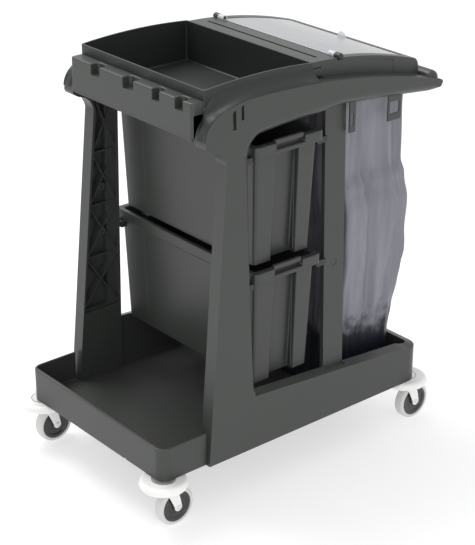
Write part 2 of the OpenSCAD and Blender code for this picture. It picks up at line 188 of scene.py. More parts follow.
def carved(bm, cutter, operation="DIFFERENCE", self_cut=False):
    """Cuts one closed shape out of another, or joins them, and gives the result as a new bmesh"""
    clean(bm)
    clean(cutter)
    base = temporary(bm, "carve_base")
    tool = temporary(cutter, "carve_tool")
    step = base.modifiers.new("carve", "BOOLEAN")
    step.operation = operation
    step.solver = "EXACT"
    step.use_self = self_cut
    step.object = tool
    graph = bpy.context.evaluated_depsgraph_get()
    result = bmesh.new()
    result.from_mesh(base.evaluated_get(graph).to_mesh())
    for o in (base, tool):
        mesh = o.data
        bpy.data.objects.remove(o)
        bpy.data.meshes.remove(mesh)
    bm.free()
    cutter.free()
    if not result.faces:
        raise RuntimeError("a cut left nothing of the piece")
    bmesh.ops.dissolve_limit(result, angle_limit=math.radians(0.6), verts=result.verts, edges=result.edges,
                             delimit={"NORMAL"})
    clean(result)
    return result


def sharp_edges(bm, angle=28, where=None):
    limit = math.radians(angle)
    return [e for e in bm.edges if len(e.link_faces) == 2 and e.calc_face_angle(0) > limit
            and (where is None or where((e.verts[0].co + e.verts[1].co) / 2, e))]


def soften(bm, width, segments=2, angle=28, where=None, clamp=True):
    """Rounds the sharp edges that where(middle, edge) picks"""
    edges = sharp_edges(bm, angle, where)
    if edges:
        bmesh.ops.bevel(bm, geom=edges, offset=width, offset_type="OFFSET", segments=segments, profile=0.5,
                        affect="EDGES", clamp_overlap=clamp, material=-1)


def finish_piece(name, bm, material, body, nodes=(), mirror=False, bevel=0.0, segments=2, angle=32,
                 recalc=True, weighted=True):
    """Turns a bmesh in millimetres into a finished piece on its body"""
    if mirror:
        bmesh.ops.scale(bm, vec=(-1, 1, 1), verts=bm.verts)
        bmesh.ops.reverse_faces(bm, faces=bm.faces)
    if recalc:
        clean(bm, 0.005)
    bmesh.ops.scale(bm, vec=(MM, MM, MM), verts=bm.verts)
    bmesh.ops.translate(bm, vec=(0, CENTRE_Y, 0), verts=bm.verts)
    mesh = bpy.data.meshes.new(name)
    bm.to_mesh(mesh)
    bm.free()
    piece = bpy.data.objects.new(name, mesh)
    bpy.context.scene.collection.objects.link(piece)
    mesh.materials.append(material)
    mesh.polygons.foreach_set("use_smooth", [True] * len(mesh.polygons))
    mesh.set_sharp_from_angle(angle=math.radians(angle + 8))
    if bevel:
        edge = piece.modifiers.new("Moulded edge", "BEVEL")
        edge.width = bevel
        edge.segments = segments
        edge.limit_method = "ANGLE"
        edge.angle_limit = math.radians(angle)
        edge.miter_outer = "MITER_ARC"
        edge.use_clamp_overlap = True
    if weighted:
        even = piece.modifiers.new("Even shading", "WEIGHTED_NORMAL")
        even.keep_sharp = True
        even.weight = 60
    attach(piece, body)
    if nodes:
        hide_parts(*nodes)
    return piece


def steps(a, b, n):
    return [a + (b - a) * i / n for i in range(n + 1)]


def arc(cy, cz, r, a0, a1, n):
    return [(cy + r * math.cos(math.radians(a)), cz + r * math.sin(math.radians(a)))
            for a in steps(a0, a1, n)]


def rounded_rect(w, h, r, n=6):
    """Corner-rounded rectangle about the middle, anticlockwise"""
    out = []
    for cx, cy, a in ((w - r, h - r, 0), (r - w, h - r, 90), (r - w, r - h, 180), (w - r, r - h, 270)):
        out += arc(cx, cy, r, a, a + 90, n)
    return out


# ---------------------------------------------------------------- lines of the cart

def rail_z(y):
    """Height of the arched rail behind its apex"""
    return 1020 - (y + 114) ** 2 / 4187


def shoulder(t):
    """Front shoulder of the rail: 90 at its tip, 0 at the apex"""
    a = math.radians(t)
    return (-114 - 170 * max(0, math.sin(a)) ** 0.83, 1020 - 80 * (1 - max(0, math.cos(a)) ** 0.83))


def lean_in(z):
    """How far the leaning frames have come inward at a height"""
    return max(0, z - KINK_Z) * math.tan(math.radians(1.29))


def leaned(bm):
    """Leans a right-hand piece inward above the lower rail"""
    for v in bm.verts:
        v.co.x -= lean_in(v.co.z)
    return bm


def under_z(y):
    """Underside of the rail behind the mid post"""
    return 942 - 0.08 * (y - 133) - 0.00006 * (y - 133) ** 2


def crease_z(y):
    """Top crease of the lower rail"""
    return 274.4 - 0.0762 * (y + 132.6)


def house_z(y):
    """Top line of the bag housing"""
    return 1050 - 0.02 * (y - 66) - 0.00042 * (y - 66) ** 2


# ---------------------------------------------------------------- materials

def group_sockets(group, inputs, outputs):
    for name, kind, value in inputs:
        s = group.interface.new_socket(name=name, in_out="INPUT", socket_type=kind)
        if value is not None:
            s.default_value = value
    for name, kind in outputs:
        group.interface.new_socket(name=name, in_out="OUTPUT", socket_type=kind)


def math_node(nodes, links, operation, a, b=None, clamp=False, label=None):
    n = nodes.new("ShaderNodeMath")
    n.operation = operation
    n.use_clamp = clamp
    if label:
        n.label = label
    for i, v in enumerate((a, b)):
        if v is None:
            continue
        if isinstance(v, (int, float)):
            n.inputs[i].default_value = v
        else:
            links.new(v, n.inputs[i])
    return n.outputs[0]


def grain_group():
    """Fine moulded grain: a height for bump and a mask of shinier and duller patches"""
    g = bpy.data.node_groups.new("Moulded grain", "ShaderNodeTree")
    group_sockets(g, [("Vector", "NodeSocketVector", None), ("Grain per metre", "NodeSocketFloat", 900.0)],
                  [("Height", "NodeSocketFloat"), ("Sheen patches", "NodeSocketFloat")])
    n, link = g.nodes, g.links
    src, out = n.new("NodeGroupInput"), n.new("NodeGroupOutput")
    fine = n.new("ShaderNodeTexNoise")
    fine.inputs["Detail"].default_value = 2.0
    fine.inputs["Roughness"].default_value = 0.6
    pits = n.new("ShaderNodeTexVoronoi")
    pits.feature = "SMOOTH_F1"
    flow = n.new("ShaderNodeTexNoise")
    flow.inputs["Scale"].default_value = 7.0
    flow.inputs["Detail"].default_value = 4.0
    for t in (fine, pits, flow):
        link.new(src.outputs["Vector"], t.inputs["Vector"])
    for t in (fine, pits):
        link.new(src.outputs["Grain per metre"], t.inputs["Scale"])
    both = math_node(n, link, "ADD", fine.outputs["Fac"],
                     math_node(n, link, "MULTIPLY", pits.outputs["Distance"], 0.5))
    link.new(both, out.inputs["Height"])
    link.new(flow.outputs["Fac"], out.inputs["Sheen patches"])
    return g


def wear_group():
    """Mask of rubbed outer edges and corners, broken up by noise"""
    g = bpy.data.node_groups.new("Edge wear", "ShaderNodeTree")
    group_sockets(g, [("Vector", "NodeSocketVector", None), ("Reach", "NodeSocketFloat", 0.003),
                      ("Amount", "NodeSocketFloat", 0.5)], [("Mask", "NodeSocketFloat")])
    n, link = g.nodes, g.links
    src, out = n.new("NodeGroupInput"), n.new("NodeGroupOutput")
    round_normal = n.new("ShaderNodeBevel")
    round_normal.samples = 4
    link.new(src.outputs["Reach"], round_normal.inputs["Radius"])
    flat = n.new("ShaderNodeNewGeometry")
    dot = n.new("ShaderNodeVectorMath")
    dot.operation = "DOT_PRODUCT"
    link.new(round_normal.outputs["Normal"], dot.inputs[0])
    link.new(flat.outputs["Normal"], dot.inputs[1])
    turn = math_node(n, link, "SUBTRACT", 1.0, dot.outputs["Value"], True)
    broken = n.new("ShaderNodeTexNoise")
    broken.inputs["Scale"].default_value = 55.0
    broken.inputs["Detail"].default_value = 5.0
    link.new(src.outputs["Vector"], broken.inputs["Vector"])
    worn = math_node(n, link, "MULTIPLY", turn, broken.outputs["Fac"])
    worn = math_node(n, link, "MULTIPLY", worn, 3.2)
    link.new(math_node(n, link, "MULTIPLY", worn, src.outputs["Amount"], True), out.inputs["Mask"])
    return g


def scuff_group():
    """Faint long scratches from use, and a dusting on surfaces that face up"""
    g = bpy.data.node_groups.new("Scuffs and dust", "ShaderNodeTree")
    group_sockets(g, [("Vector", "NodeSocketVector", None)],
                  [("Scuffs", "NodeSocketFloat"), ("Dust", "NodeSocketFloat")])
    n, link = g.nodes, g.links
    src, out = n.new("NodeGroupInput"), n.new("NodeGroupOutput")
    stretch = n.new("ShaderNodeMapping")
    stretch.inputs["Scale"].default_value = (14.0, 190.0, 160.0)
    stretch.inputs["Rotation"].default_value = (0.2, 0.35, 0.5)
    link.new(src.outputs["Vector"], stretch.inputs["Vector"])
    streak = n.new("ShaderNodeTexNoise")
    streak.inputs["Scale"].default_value = 1.0
    streak.inputs["Detail"].default_value = 3.0
    link.new(stretch.outputs["Vector"], streak.inputs["Vector"])
    thin = n.new("ShaderNodeMapRange")
    thin.inputs["From Min"].default_value = 0.64
    thin.inputs["From Max"].default_value = 0.74
    link.new(streak.outputs["Fac"], thin.inputs["Value"])
    link.new(thin.outputs["Result"], out.inputs["Scuffs"])
    up = n.new("ShaderNodeNewGeometry")
    split = n.new("ShaderNodeSeparateXYZ")
    link.new(up.outputs["Normal"], split.inputs["Vector"])
    speck = n.new("ShaderNodeTexNoise")
    speck.inputs["Scale"].default_value = 420.0
    speck.inputs["Detail"].default_value = 3.0
    link.new(src.outputs["Vector"], speck.inputs["Vector"])
    spots = math_node(n, link, "POWER", speck.outputs["Fac"], 3.0)
    facing = math_node(n, link, "POWER", math_node(n, link, "MAXIMUM", split.outputs["Z"], 0.0), 4.0)
    link.new(math_node(n, link, "MULTIPLY", facing, spots, True), out.inputs["Dust"])
    return g


GROUPS = {}


def shared(name):
    if name not in GROUPS:
        GROUPS[name] = {"grain": grain_group, "wear": wear_group, "scuffs": scuff_group}[name]()
    return GROUPS[name]


def base_material(name):
    m = bpy.data.materials.new(name)
    m.use_nodes = True
    n, link = m.node_tree.nodes, m.node_tree.links
    surface = next(x for x in n if x.type == "BSDF_PRINCIPLED")
    coords = n.new("ShaderNodeTexCoord")
    return m, n, link, surface, coords.outputs["Object"]


def use_group(nodes, links, name, where, values=None):
    node = nodes.new("ShaderNodeGroup")
    node.node_tree = shared(name)
    links.new(where, node.inputs["Vector"])
    for k, v in (values or {}).items():
        node.inputs[k].default_value = v
    return node


def mixed(nodes, links, factor, a, b):
    mix = nodes.new("ShaderNodeMix")
    mix.data_type = "RGBA"
    for socket, v in ((mix.inputs["A"], a), (mix.inputs["B"], b)):
        if hasattr(v, "is_output"):
            links.new(v, socket)
        else:
            socket.default_value = (*v, 1)
    if hasattr(factor, "is_output"):
        links.new(factor, mix.inputs["Factor"])
    else:
        mix.inputs["Factor"].default_value = factor
    return mix.outputs["Result"]


def plastic(name, colour, roughness=0.42, grain=1100.0, bump=0.12, wear=0.5, coat=0.0, patch=0.1):
    """Moulded plastic with grain, duller and shinier patches, rubbed edges, faint scuffs and dust"""
    m, n, link, surface, where = base_material(name)
    g = use_group(n, link, "grain", where, {"Grain per metre": grain})
    w = use_group(n, link, "wear", where, {"Reach": 0.0025, "Amount": wear})
    s = use_group(n, link, "scuffs", where)
    light = [min(1, c * 2.1 + 0.02) for c in colour]
    tone = mixed(n, link, g.outputs["Sheen patches"], [c * 0.9 for c in colour], [c * 1.1 for c in colour])
    tone = mixed(n, link, w.outputs["Mask"], tone, light)
    tone = mixed(n, link, math_node(n, link, "MULTIPLY", s.outputs["Scuffs"], 0.10), tone, light)
    tone = mixed(n, link, math_node(n, link, "MULTIPLY", s.outputs["Dust"], 0.16), tone, (0.33, 0.32, 0.3))
    link.new(tone, surface.inputs["Base Color"])
    rough = math_node(n, link, "MULTIPLY_ADD", g.outputs["Sheen patches"], patch)
    rough.node.inputs[2].default_value = roughness - patch / 2
    rough = math_node(n, link, "ADD", rough, math_node(n, link, "MULTIPLY", s.outputs["Scuffs"], 0.08), True)
    link.new(rough, surface.inputs["Roughness"])
    raised = n.new("ShaderNodeBump")
    raised.inputs["Strength"].default_value = bump
    raised.inputs["Distance"].default_value = 0.0004
    link.new(g.outputs["Height"], raised.inputs["Height"])
    link.new(raised.outputs["Normal"], surface.inputs["Normal"])
    surface.inputs["IOR"].default_value = 1.5
    if coat:
        surface.inputs["Coat Weight"].default_value = coat
        surface.inputs["Coat Roughness"].default_value = 0.25
    return m


def metal(name, colour, roughness=0.3):
    """Bright zinc plate with a faint spangle"""
    m, n, link, surface, where = base_material(name)
    cells = n.new("ShaderNodeTexVoronoi")
    cells.inputs["Scale"].default_value = 260.0
    link.new(where, cells.inputs["Vector"])
    w = use_group(n, link, "wear", where, {"Reach": 0.0015, "Amount": 0.4})
    tone = mixed(n, link, cells.outputs["Distance"], [c * 0.86 for c in colour], colour)
    link.new(mixed(n, link, w.outputs["Mask"], tone, (0.9, 0.9, 0.9)), surface.inputs["Base Color"])
    rough = math_node(n, link, "MULTIPLY_ADD", cells.outputs["Distance"], 0.2)
    rough.node.inputs[2].default_value = roughness
    link.new(rough, surface.inputs["Roughness"])
    surface.inputs["Metallic"].default_value = 0.85
    g = use_group(n, link, "grain", where, {"Grain per metre": 1800.0})
    raised = n.new("ShaderNodeBump")
    raised.inputs["Strength"].default_value = 0.08
    raised.inputs["Distance"].default_value = 0.0003
    link.new(g.outputs["Height"], raised.inputs["Height"])
    link.new(raised.outputs["Normal"], surface.inputs["Normal"])
    return m


def film_material(colour, foot_tone):
    """Thin translucent film, streaked along its folds, darker towards its foot below a ragged line"""
    m, n, link, surface, where = base_material("Bag film")
    split = n.new("ShaderNodeSeparateXYZ")
    link.new(where, split.inputs["Vector"])
    stretch = n.new("ShaderNodeMapping")
    stretch.inputs["Scale"].default_value = (34.0, 34.0, 3.2)
    link.new(where, stretch.inputs["Vector"])
    streak = n.new("ShaderNodeTexNoise")
    streak.inputs["Scale"].default_value = 1.0
    streak.inputs["Detail"].default_value = 5.0
    streak.inputs["Distortion"].default_value = 0.6
    link.new(stretch.outputs["Vector"], streak.inputs["Vector"])
    pale = [min(1, c * 1.55) for c in colour]
    deep = [c * 0.62 for c in colour]
    tone = mixed(n, link, streak.outputs["Fac"], deep, pale)
    # darker towards the foot of the bag, below a ragged line
    ragged = n.new("ShaderNodeTexNoise")
    ragged.inputs["Scale"].default_value = 24.0
    ragged.inputs["Detail"].default_value = 6.0
    ragged.inputs["Roughness"].default_value = 0.65
    link.new(where, ragged.inputs["Vector"])
    rise = math_node(n, link, "MULTIPLY", math_node(n, link, "SUBTRACT", ragged.outputs["Fac"], 0.5), 0.26)
    height = math_node(n, link, "ADD", split.outputs["Z"], rise)
    low = n.new("ShaderNodeMapRange")
    low.inputs["From Min"].default_value = 0.36
    low.inputs["From Max"].default_value = 0.27
    low.interpolation_type = "SMOOTHSTEP"
    link.new(height, low.inputs["Value"])
    link.new(mixed(n, link, low.outputs["Result"], tone, foot_tone), surface.inputs["Base Color"])
    rough = math_node(n, link, "MULTIPLY_ADD", streak.outputs["Fac"], 0.18)
    rough.node.inputs[2].default_value = 0.24
    link.new(rough, surface.inputs["Roughness"])
    crease = n.new("ShaderNodeTexNoise")
    crease.inputs["Scale"].default_value = 70.0
    crease.inputs["Detail"].default_value = 4.0
    link.new(stretch.outputs["Vector"], crease.inputs["Vector"])
    raised = n.new("ShaderNodeBump")
    raised.inputs["Strength"].default_value = 0.25
    raised.inputs["Distance"].default_value = 0.001
    link.new(crease.outputs["Fac"], raised.inputs["Height"])
    link.new(raised.outputs["Normal"], surface.inputs["Normal"])
    surface.inputs["IOR"].default_value = 1.45
    return m


def clear_material(name, colour, alpha, roughness=0.12):
    """Clear sheet, a little hazed, with fine wipe marks"""
    m, n, link, surface, where = base_material(name)
    wipe = n.new("ShaderNodeTexNoise")
    wipe.inputs["Scale"].default_value = 9.0
    wipe.inputs["Detail"].default_value = 4.0
    wipe.inputs["Distortion"].default_value = 0.8
    link.new(where, wipe.inputs["Vector"])
    w = use_group(n, link, "wear", where, {"Reach": 0.003, "Amount": 0.6})
    tone = mixed(n, link, wipe.outputs["Fac"], [c * 0.9 for c in colour], [min(1, c * 1.08) for c in colour])
    link.new(mixed(n, link, w.outputs["Mask"], tone, (0.9, 0.92, 0.93)), surface.inputs["Base Color"])
    rough = math_node(n, link, "MULTIPLY_ADD", wipe.outputs["Fac"], 0.14)
    rough.node.inputs[2].default_value = roughness
    link.new(rough, surface.inputs["Roughness"])
    haze = math_node(n, link, "MULTIPLY_ADD", wipe.outputs["Fac"], 0.06)
    haze.node.inputs[2].default_value = alpha
    link.new(math_node(n, link, "ADD", haze, w.outputs["Mask"], True), surface.inputs["Alpha"])
    g = use_group(n, link, "grain", where, {"Grain per metre": 300.0})
    raised = n.new("ShaderNodeBump")
    raised.inputs["Strength"].default_value = 0.03
    raised.inputs["Distance"].default_value = 0.0005
    link.new(g.outputs["Height"], raised.inputs["Height"])
    link.new(raised.outputs["Normal"], surface.inputs["Normal"])
    surface.inputs["IOR"].default_value = 1.49
    return m


MATERIALS = {}


def material(key):
    """The cart's materials, each made once from the finish settings"""
    if key in MATERIALS:
        return MATERIALS[key]
    finish = bpy.context.scene.cart_finish
    grain = 1 / bpy.context.scene.cart_sizes.grain
    makers = {
        "grey": lambda: plastic("Grey moulding", tuple(finish.grey), 0.40, grain),
        "bin": lambda: plastic("Bin moulding", tuple(c * 0.95 for c in finish.grey), 0.36, grain * 1.3, 0.08),
        # the same grey darkened, as painted shade
        "dark": lambda: plastic("Shaded grey moulding", tuple(finish.dark), 0.42, grain, 0.1, 0.3),
        "film": lambda: film_material(tuple(finish.film), tuple(finish.foot_tone)),
        "sheet": lambda: clear_material("Clear sheet", tuple(finish.sheet), 0.86),
        "knuckle": lambda: clear_material("Clear knuckle", (0.7, 0.74, 0.8), 0.5, 0.06),
        "bumper": lambda: plastic("Bumper moulding", tuple(finish.bumper), 0.35, 500.0, 0.05, 0.1),
        "tyre": lambda: plastic("Tyre rubber", tuple(finish.tyre), 0.55, 700.0, 0.15, 0.1),
        "hub": lambda: plastic("Wheel centre", tuple(finish.hub), 0.28, 900.0, 0.06, 0.25, 0.4),
        "zinc": lambda: metal("Zinc plate", (0.78, 0.79, 0.8)),
    }
    MATERIALS[key] = makers[key]()
    return MATERIALS[key]


# ---------------------------------------------------------------- pieces

HX = 286.0
IX = 250.0
LEG_REAR = -152.0
POST_FRONT = 96.0
POST_REAR = 162.0
WALL_Y = -288.0
REAR_Y = 422.0
CORNER_R = 40.0


def frame_profile():
    pts = [(WALL_Y, 133), (POST_REAR, 133)]
    pts += [(y, under_z(y)) for y in steps(POST_REAR, 428, 16)]
    pts += [(442, 913), (453, 917), (461, 923.5), (466, 931), (466.5, 936), (462, 940.5)]
    pts += [(y, rail_z(y)) for y in reversed(steps(-114, 452, 28))]
    pts += [shoulder(t) for t in steps(4, 90, 22)]
    pts += [(-284, 934), (-280, 927), (-268, 920), (-250, 914), (-235, 903), (-227, 888), (-224, 878)]
    return pts


def window_z(y):
    """Top of the window, and of the recess in front of the mid post"""
    return 936 - 0.00027 * (y - 71) ** 2 if y < 71 else 936 + (y - 71) * 0.0968


def window_profile():
    pts = arc(LEG_REAR + 16, crease_z(-136) + 24, 16, 180, 270, 6)
    pts += [(POST_FRONT, crease_z(POST_FRONT) + 8)]
    pts += [(y, window_z(y)) for y in [POST_FRONT] + steps(71, -98, 8)]
    pts += arc(LEG_REAR + 45, 883, 45, 96, 180, 10)[1:]
    return pts


def rib(bm, a, b, thick=3.0, x0=IX + 5, x1=HX - 10):
    """Upright web from a to b, given as (y, z)"""
    d = Vector((b[0] - a[0], b[1] - a[1])).normalized()
    s = Vector((-d.y, d.x)) * thick / 2
    prism(bm, [(a[0] + s.x, a[1] + s.y), (b[0] + s.x, b[1] + s.y), (b[0] - s.x, b[1] - s.y),
               (a[0] - s.x, a[1] - s.y)], "X", x0, x1)


def leg_front(z):
    """Front edge of the front leg at a height"""
    return -288 + (z - 133) * (64.0 / 747)


def side_frame_body():
    bm = bmesh.new()
    prism(bm, frame_profile(), "X", IX, HX)
    cut = bmesh.new()
    prism(cut, window_profile(), "X", IX - 10, HX + 10)
    bm = carved(bm, cut)
    # the mid post stands back from the outer face
    cut = bmesh.new()
    y0, y1 = POST_FRONT - 0.5, POST_REAR + 0.5
    prism(cut, [(y0, crease_z(y0) + 3), (y1, crease_z(y1) + 3), (y1, under_z(y1) - 0.4),
                (POST_REAR, under_z(POST_REAR)), (133, 942), (POST_FRONT, window_z(POST_FRONT)),
                (y0, window_z(y0) - 0.4)], "X", HX - 24, HX + 10)
    bm = carved(bm, cut)
    # broad rounding round the window and along the underside of the rail
    def broad(p, e):
        on_face = all(abs(v.co.x - HX) < 0.1 for v in e.verts)
        if not on_face:
            return False
        window = LEG_REAR - 1 < p.y < POST_FRONT + 1 and 300 < p.z < 940
        under = POST_FRONT - 1 < p.y < 455 and 900 < p.z < 944
        return window or under
    soften(bm, 22, 6, 14, broad, clamp=False)
    clean(bm)
    # hollows on the inner side, slots on the outer side
    cut = bmesh.new()
    pocket = [(leg_front(330) + 7, 330), (LEG_REAR - 6, 330), (LEG_REAR - 6, 890), (LEG_REAR + 14, 934),
              (-125, 1002),
              (-185, 998), (-236, 970), (-258, 938), (-226, 912), (leg_front(870) + 8, 870)]
    prism(cut, pocket, "X", IX - 12, HX - 24)
    bm = carved(bm, cut)
    cut = bmesh.new()
    prism(cut, [(leg_front(330) + 7, 334), (-184, 334), (-184, 930), (-205, 985), (-236, 968),
                (-250, 938), (-226, 912),
                (leg_front(870) + 8, 870)], "X", IX - 12, HX - 5)
    prism(cut, [(POST_REAR + 12, 952), (380, 932), (380, 948), (240, 975), (POST_REAR + 12, 988)], "X",
          IX - 12, HX - 26)
    prism(cut, [(LEG_REAR, 150), (POST_FRONT + 1, 150), (POST_FRONT + 1, 320), (LEG_REAR, 320)], "X",
          IX - 12, HX - 24)
    for y0, y1, z0, z1 in ((-205, -195, 958, 998), (-180, -172, 976, 1006)):
        prism(cut, [(y0, z0), (y1, z0), (y1, z1 + 6), (y0, z1)], "X", HX - 8, HX + 8)
    for y in (-97, -13):
        block(cut, (HX - 21, y - 8, 1003), (HX - 11, y + 8, 1040))
    rod(cut, "X", HX - 27.2, HX - 19, (129, 540), 8.6, 32)
    bm = carved(bm, cut)
    # sloping shelf along the foot of the window
    cut = bmesh.new()
    y0, y1 = LEG_REAR + 6, POST_REAR + 0.5
    z0, z1 = crease_z(y0), crease_z(y1)
    low = [cut.verts.new(p) for p in ((HX + 2, y0, z0 - 0.6), (HX + 2, y1, z1 - 0.6),
                                      (HX - 24, y1, z1 + 8.2), (HX - 24, y0, z0 + 8.2))]
    face = cut.faces.new(low)
    made = bmesh.ops.extrude_face_region(cut, geom=[face])["geom"]
    bmesh.ops.translate(cut, vec=(0, 0, 40), verts=[g for g in made if isinstance(g, bmesh.types.BMVert)])
    return carved(bm, cut)


def lower_rail_shape():
    """Lower rail behind the post: its section runs back, round the corner and in behind the deck"""
    bm = bmesh.new()
    height = [(POST_REAR - 1, crease_z(POST_REAR)), (250, crease_z(250)), (350, crease_z(350)), (368, 231.5),
              (REAR_Y - CORNER_R, 228)]
    def section(y, z):
        return [(HX, y, 133), (HX, y, z), (HX - 24, y, z + 8), (HX - 24, y, 133)]
    ring = [bm.verts.new(p) for p in section(*height[0])]
    edges = [bm.edges.new((ring[i - 1], ring[i])) for i in range(4)]
    for y, z in height[1:]:
        made = bmesh.ops.extrude_edge_only(bm, edges=edges)["geom"]
        edges = [g for g in made if isinstance(g, bmesh.types.BMEdge) and
                 all(v in made for v in g.verts)]
        verts = [g for g in made if isinstance(g, bmesh.types.BMVert)]
        for v in verts:
            high = v.co.z > 134
            inner = v.co.x < HX - 1
            v.co.y = y
            if high:
                v.co.z = z + (8 if inner else 0)
    spun = bmesh.ops.spin(bm, geom=edges + list({v for e in edges for v in e.verts}),
                          cent=(HX - CORNER_R, REAR_Y - CORNER_R, 0), axis=(0, 0, 1), dvec=(0, 0, 0),
                          angle=math.pi / 2, steps=12, use_merge=False, use_normal_flip=False,
                          use_duplicate=False)
    last = [g for g in spun["geom_last"] if isinstance(g, bmesh.types.BMEdge)]
    made = bmesh.ops.extrude_edge_only(bm, edges=last)["geom"]
    bmesh.ops.translate(bm, vec=(-(HX - CORNER_R - 216), 0, 0),
                        verts=[g for g in made if isinstance(g, bmesh.types.BMVert)])
    bmesh.ops.holes_fill(bm, edges=[e for e in bm.edges if e.is_boundary], sides=8)
    clean(bm)
    return bm


def side_frame():
    bm = side_frame_body()
    rail = lower_rail_shape()
    bm = carved(bm, rail, "UNION")
    floor = bmesh.new()
    block(floor, (IX, POST_FRONT, 133.2), (HX - 20, REAR_Y - CORNER_R, 147))
    bm = carved(bm, floor, "UNION")
    # webs inside the front leg
    r = LEG_REAR - 5
    for i in range(4):
        z0, z1 = 338 + i * 141, 338 + (i + 1) * 141
        a, b = leg_front(z0) + 7, leg_front(z1) + 7
        rib(bm, (a, z0 + 2), (r, z1 - 2))
        rib(bm, (b, z1 - 2), (r, z0 + 2))
        rib(bm, (b - 1, z1), (r + 1, z1), 3.5, IX + 9)
    rib(bm, (-218, 905), (-160, 990))
    rib(bm, (-160, 905), (-232, 962))
    for z in (546, 668):
        turned(bm, [(5.2, IX + 4), (10, IX + 4), (10.6, HX - 10), (5.2, HX - 10)], (0, -203, z), "X", 28)
        rod(bm, "X", IX + 9, HX - 10, (-203, z), 6, 24)
    return leaned(bm)


class CART_OT_side_frames(bpy.types.Operator):
    """Moulded side frames with their windows, webs, slots and lower rails"""

    bl_idname = "cart.side_frames"
    bl_label = "Side frames"

    def execute(self, context):
        edge = context.scene.cart_sizes.edge
        for name, mirror in (("side_frame_right", False), ("side_frame_left", True)):
            finish_piece(name + "_shell", side_frame(), material("grey"), "cart", [name],
                         mirror=mirror, bevel=edge, segments=2)
        bm = bmesh.new()
        for s in (1, -1):
            x = HX - 24 - lean_in(540)
            turned(bm, [(0.01, s * (x - 3)), (8, s * (x - 3)), (8, s * (x - 0.9)), (7.2, s * (x - 0.3)),
                        (0.01, s * (x - 0.3))], (0, 129, 540), "X", 32)
        finish_piece("post_plug_discs", bm, material("grey"), "cart", ["post_plugs"])
        return {"FINISHED"}


class CART_OT_deck(bpy.types.Operator):
    """Deck with its raised mop tray, rounded rim and rear wall"""

    bl_idname = "cart.deck"
    bl_label = "Deck"

    def execute(self, context):
        bm = bmesh.new()
        w = 274.0
        front = -REAR_Y

        def plan(inset, back, r):
            return ([(-w + inset, back)] +
                    [(p[0], p[1]) for p in arc(-w + inset + r, front + inset + r, r, 180, 270, 8)] +
                    [(p[0], p[1]) for p in arc(w - inset - r, front + inset + r, r, 270, 360, 8)] +
                    [(w - inset, back)])

        prism(bm, plan(0, WALL_Y, 28), "Z", 133, 220)
        cut = bmesh.new()
        inner = plan(6, WALL_Y + 30, 22)
        inner = [(x, max(y, front + 11)) if abs(x) < w - 30 or y < front + 11 else (x, y) for x, y in inner]
        prism(cut, inner, "Z", 141, 300)
        block(cut, (122, front - 5, 125), (131, front + 7, 137))
        bm = carved(bm, cut)
        # rounded rim, and a soft turn where the walls meet the floor
        soften(bm, 2.6, 3, 40, lambda p, e: p.z > 219.5 and p.y < WALL_Y - 0.5, clamp=False)
        soften(bm, 5, 3, 40, lambda p, e: abs(p.z - 141) < 0.2 and p.y < WALL_Y - 1, clamp=False)
        soften(bm, 3, 3, 40, lambda p, e: abs(p.z - 133) < 0.2 and (abs(p.x) > w - 29 or p.y < front + 1)
               and p.y < WALL_Y - 0.5 and not 118 < p.x < 135, clamp=False)
        block(bm, (-IX, WALL_Y, 133), (IX, REAR_Y - CORNER_R, 141))
        block(bm, (-IX + 4, REAR_Y - CORNER_R, 133.3), (IX - 4, REAR_Y - 24, 141), 1)
        prism(bm, [(REAR_Y - 24, 133.2), (REAR_Y, 133.2), (REAR_Y, 227.7), (REAR_Y - 1, 228.5),
                   (REAR_Y - 22, 235.6),
                   (REAR_Y - 24, 235.6)], "X", -215.8, 215.8)
        finish_piece("deck_shell", bm, material("grey"), "cart", ["base_deck"], angle=30)
        return {"FINISHED"}


def tray_shell():
    """Open tray with arched side walls"""
    bm = bmesh.new()
    front, rear, thx = -256.0, 66.0, 232.5

    def top(u):
        return 1051 + 32 * u * (1 - u)

    side = [(front, 946), (rear, 946)] + [(rear + (front - rear) * u, top(u)) for u in steps(0, 1, 20)]
    prism(bm, side, "X", -thx, thx)
    soften(bm, 3, 3, 60, lambda p, e: abs(e.verts[0].co.z - e.verts[1].co.z) > 20, clamp=False)
    clean(bm)
    cut = bmesh.new()
    prism(cut, rounded_rect(thx - 4, (rear - front) / 2 - 4, 6, 4), "Z", 950, 1100)
    bmesh.ops.translate(cut, vec=(0, (front + rear) / 2, 0), verts=cut.verts)
    block(cut, (-thx - 9, front - 9, 1051), (thx + 9, front + 4.2, 1100))
    bm = carved(bm, cut, self_cut=True)
    cut = bmesh.new()
    block(cut, (-thx + 5, rear - 4.2, 1051), (thx - 5, rear + 9, 1100))
    bm = carved(bm, cut)
    soften(bm, 4, 3, 40, lambda p, e: abs(p.z - 950) < 0.3, clamp=False)
    return bm


